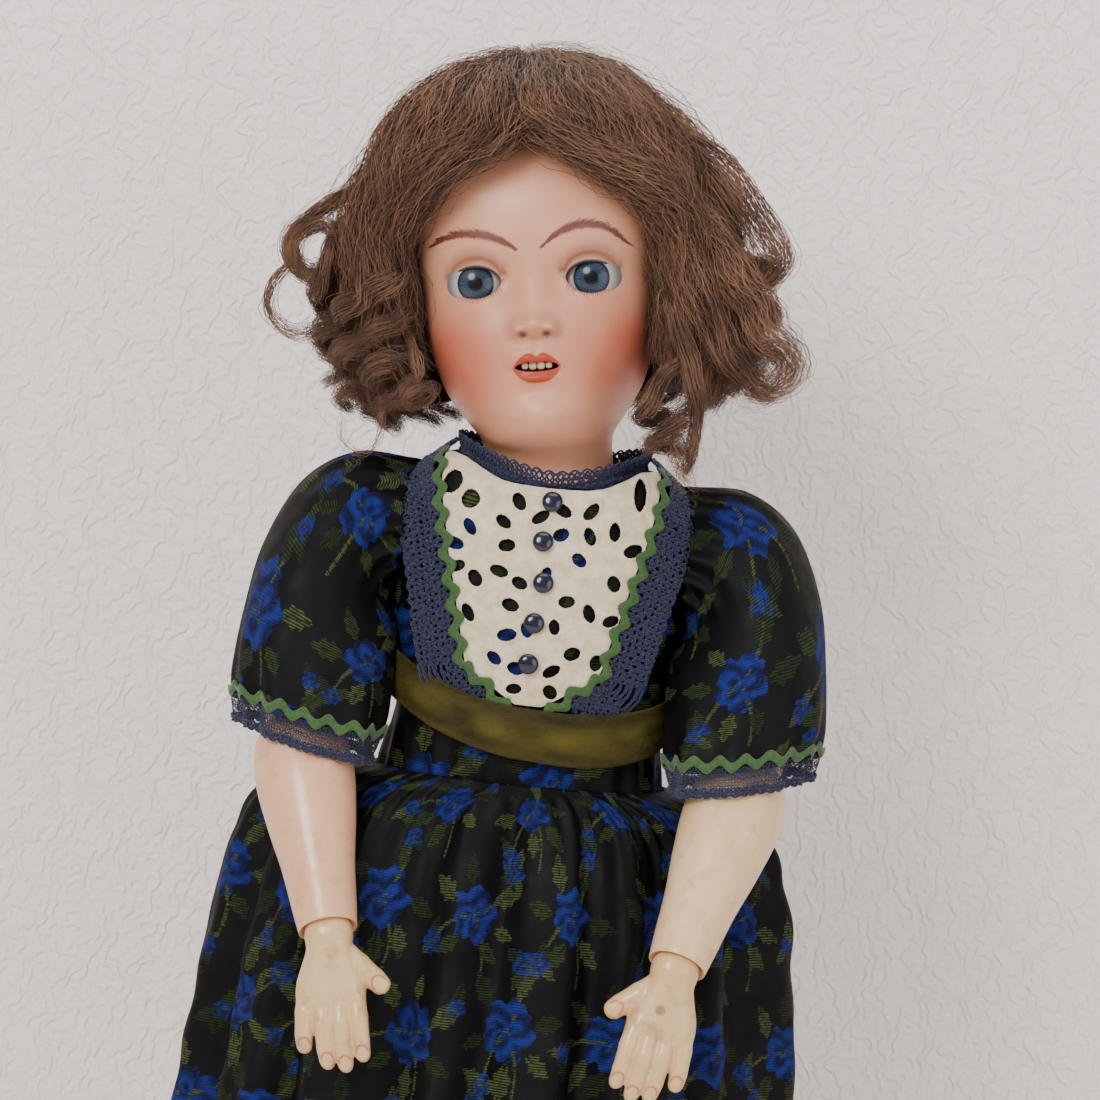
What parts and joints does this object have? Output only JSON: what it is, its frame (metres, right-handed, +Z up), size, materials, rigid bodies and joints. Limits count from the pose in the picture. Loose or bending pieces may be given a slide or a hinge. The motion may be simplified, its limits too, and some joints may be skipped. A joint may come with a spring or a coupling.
{
  "type": "dressed porcelain doll",
  "caption": "Bisque-head child doll on a ball-jointed body, with sleep eyes, mohair wig, dark floral brocade dress, eyelet bib, velvet sash, socks and strap shoes, standing on its soles.",
  "frame": {"origin": "centre of the bounding box's base, at the shoe soles' level", "axes": "+Z up along the doll, -Y the way it faces, +X toward its left"},
  "size_m": [0.312, 0.241, 0.7504],
  "materials": {
    "bisque": "matt fired bisque, painted",
    "black_brocade": "satin",
    "button_glass": "glossy",
    "painted_composition": "varnished paint",
    "white_cotton": "matt",
    "pate_card": "matt",
    "elastic_cord": "matt",
    "eye_glass": "glossy",
    "ivory_eyelet": "matt",
    "lead": "dull",
    "black_leather": "polished",
    "mohair": "soft",
    "plaster": "matt",
    "steel_wire": "dull",
    "teeth_porcelain": "glossy",
    "olive_velvet": "pile",
    "turned_wood": "matt"
  },
  "bodies": {
    "torso": {"torso": "painted_composition", "arm_elastic": "elastic_cord", "leg_elastic": "elastic_cord", "bodice": "black_brocade", "skirt": "black_brocade", "petticoat": "white_cotton", "drawers": "white_cotton", "eyelet_bib": "ivory_eyelet", "neck_band": "ivory_eyelet", "velvet_sash": "olive_velvet", "button_1": "button_glass", "button_2": "button_glass", "button_3": "button_glass", "button_4": "button_glass", "button_5": "button_glass"},
    "neck_hook": {"neck_hook": "steel_wire"},
    "neck_plug": {"neck_plug": "turned_wood"},
    "head": {"bisque_head": "bisque", "crown_pate": "pate_card", "wig_cap": "mohair", "right_side_curls": "mohair", "left_side_curls": "mohair", "hanging_ringlet": "mohair", "upper_teeth": "teeth_porcelain", "right_eye_plaster": "plaster", "left_eye_plaster": "plaster"},
    "eyes": {"right_eyeball": "eye_glass", "left_eyeball": "eye_glass", "eye_rocker": "steel_wire", "eye_counterweight": "lead"},
    "right_shoulder_ball": {"right_shoulder_ball": "painted_composition"},
    "right_upper_arm": {"right_upper_arm": "painted_composition", "right_sleeve": "black_brocade"},
    "right_elbow_ball": {"right_elbow_ball": "painted_composition"},
    "right_lower_arm": {"right_lower_arm": "painted_composition"},
    "right_hand": {"right_hand": "painted_composition"},
    "right_hip_ball": {"right_hip_ball": "painted_composition"},
    "right_thigh": {"right_thigh": "painted_composition"},
    "right_knee_ball": {"right_knee_ball": "painted_composition"},
    "right_lower_leg": {"right_lower_leg": "painted_composition", "right_sock": "white_cotton", "right_shoe": "black_leather", "right_shoe_strap": "black_leather"},
    "left_shoulder_ball": {"left_shoulder_ball": "painted_composition"},
    "left_upper_arm": {"left_upper_arm": "painted_composition", "left_sleeve": "black_brocade"},
    "left_elbow_ball": {"left_elbow_ball": "painted_composition"},
    "left_lower_arm": {"left_lower_arm": "painted_composition"},
    "left_hand": {"left_hand": "painted_composition"},
    "left_hip_ball": {"left_hip_ball": "painted_composition"},
    "left_thigh": {"left_thigh": "painted_composition"},
    "left_knee_ball": {"left_knee_ball": "painted_composition"},
    "left_lower_leg": {"left_lower_leg": "painted_composition", "left_sock": "white_cotton", "left_shoe": "black_leather", "left_shoe_strap": "black_leather"}
  },
  "joints": [
    {"name": "head_tilt", "type": "hinge", "parent": "torso", "child": "neck_hook", "pos_m": [0, 0.004, 0.528], "axis": [0, 1, 0], "range_deg": [-3, 12], "deforming": ["right_side_curls", "left_side_curls", "hanging_ringlet", "neck_band", "leg_elastic"]},
    {"name": "head_nod", "type": "hinge", "parent": "neck_hook", "child": "neck_plug", "pos_m": [0, 0.004, 0.528], "axis": [0.9863, -0.0523, 0.1562], "range_deg": [-10, 7], "deforming": ["right_side_curls", "left_side_curls", "hanging_ringlet", "neck_band"]},
    {"name": "head_turn", "type": "hinge", "parent": "neck_plug", "child": "head", "pos_m": [0, 0.004, 0.528], "axis": [-0.1564, 0, 0.9877], "range_deg": [-60, 60], "deforming": ["right_side_curls", "left_side_curls", "hanging_ringlet", "neck_band"]},
    {"name": "eyes_sleep", "type": "hinge", "parent": "head", "child": "eyes", "pos_m": [-0.01821, -0.03345, 0.63041], "axis": [0.9863, -0.0523, 0.1562], "range_deg": [0, 55]},
    {"name": "right_shoulder_swing", "type": "hinge", "parent": "torso", "child": "right_shoulder_ball", "pos_m": [-0.094, 0, 0.51], "axis": [-1, 0, 0], "range_deg": [0, 90], "deforming": ["right_sleeve", "arm_elastic"]},
    {"name": "right_shoulder_spread", "type": "hinge", "parent": "right_shoulder_ball", "child": "right_upper_arm", "pos_m": [-0.094, 0, 0.51], "axis": [0, 1, 0], "range_deg": [0, 45], "deforming": ["right_sleeve", "arm_elastic"]},
    {"name": "right_elbow_bend", "type": "hinge", "parent": "right_upper_arm", "child": "right_elbow_ball", "pos_m": [-0.115, -0.036, 0.413], "axis": [-0.4362, -0.8087, 0.3946], "range_deg": [0, 40], "deforming": ["right_sleeve", "arm_elastic"]},
    {"name": "right_forearm_twist", "type": "hinge", "parent": "right_elbow_ball", "child": "right_lower_arm", "pos_m": [-0.115, -0.036, 0.413], "axis": [0.2494, -0.53, -0.8105], "range_deg": [-45, 45], "deforming": ["arm_elastic"]},
    {"name": "right_wrist_bend", "type": "hinge", "parent": "right_lower_arm", "child": "right_hand", "pos_m": [-0.083, -0.104, 0.309], "axis": [-0.9887, 0, -0.1498], "range_deg": [-5, 20]},
    {"name": "right_hip_swing", "type": "hinge", "parent": "torso", "child": "right_hip_ball", "pos_m": [-0.045, 0, 0.31], "axis": [-1, 0, 0], "range_deg": [-15, 18], "deforming": ["skirt", "petticoat", "drawers", "leg_elastic"]},
    {"name": "right_leg_spread", "type": "hinge", "parent": "right_hip_ball", "child": "right_thigh", "pos_m": [-0.045, 0, 0.31], "axis": [0, 1, 0], "range_deg": [0, 10], "deforming": ["skirt", "petticoat", "drawers", "leg_elastic"]},
    {"name": "right_knee_swing", "type": "hinge", "parent": "right_thigh", "child": "right_knee_ball", "pos_m": [-0.049, 0.001, 0.174], "axis": [1, 0, 0], "range_deg": [0, 50], "deforming": ["skirt", "petticoat", "drawers", "leg_elastic"]},
    {"name": "right_shin_turn", "type": "hinge", "parent": "right_knee_ball", "child": "right_lower_leg", "pos_m": [-0.049, 0.001, 0.174], "axis": [0, 0, 1], "range_deg": [-20, 20], "deforming": ["leg_elastic"]},
    {"name": "left_shoulder_swing", "type": "hinge", "parent": "torso", "child": "left_shoulder_ball", "pos_m": [0.094, 0, 0.51], "axis": [-1, 0, 0], "range_deg": [0, 90], "deforming": ["left_sleeve", "arm_elastic"]},
    {"name": "left_shoulder_spread", "type": "hinge", "parent": "left_shoulder_ball", "child": "left_upper_arm", "pos_m": [0.094, 0, 0.51], "axis": [0, -1, 0], "range_deg": [0, 45], "deforming": ["left_sleeve", "arm_elastic"]},
    {"name": "left_elbow_bend", "type": "hinge", "parent": "left_upper_arm", "child": "left_elbow_ball", "pos_m": [0.115, -0.036, 0.413], "axis": [-0.4362, 0.8087, -0.3946], "range_deg": [0, 40], "deforming": ["left_sleeve", "arm_elastic"]},
    {"name": "left_forearm_twist", "type": "hinge", "parent": "left_elbow_ball", "child": "left_lower_arm", "pos_m": [0.115, -0.036, 0.413], "axis": [-0.2494, -0.53, -0.8105], "range_deg": [-45, 45], "deforming": ["arm_elastic"]},
    {"name": "left_wrist_bend", "type": "hinge", "parent": "left_lower_arm", "child": "left_hand", "pos_m": [0.083, -0.104, 0.309], "axis": [-0.9887, 0, 0.1498], "range_deg": [-5, 20]},
    {"name": "left_hip_swing", "type": "hinge", "parent": "torso", "child": "left_hip_ball", "pos_m": [0.045, 0, 0.31], "axis": [-1, 0, 0], "range_deg": [-15, 18], "deforming": ["skirt", "petticoat", "drawers", "leg_elastic"]},
    {"name": "left_leg_spread", "type": "hinge", "parent": "left_hip_ball", "child": "left_thigh", "pos_m": [0.045, 0, 0.31], "axis": [0, -1, 0], "range_deg": [0, 10], "deforming": ["skirt", "petticoat", "drawers", "leg_elastic"]},
    {"name": "left_knee_swing", "type": "hinge", "parent": "left_thigh", "child": "left_knee_ball", "pos_m": [0.049, 0.001, 0.174], "axis": [1, 0, 0], "range_deg": [0, 50], "deforming": ["skirt", "petticoat", "drawers", "leg_elastic"]},
    {"name": "left_shin_turn", "type": "hinge", "parent": "left_knee_ball", "child": "left_lower_leg", "pos_m": [0.049, 0.001, 0.174], "axis": [0, 0, 1], "range_deg": [-20, 20], "deforming": ["leg_elastic"]}
  ]
}
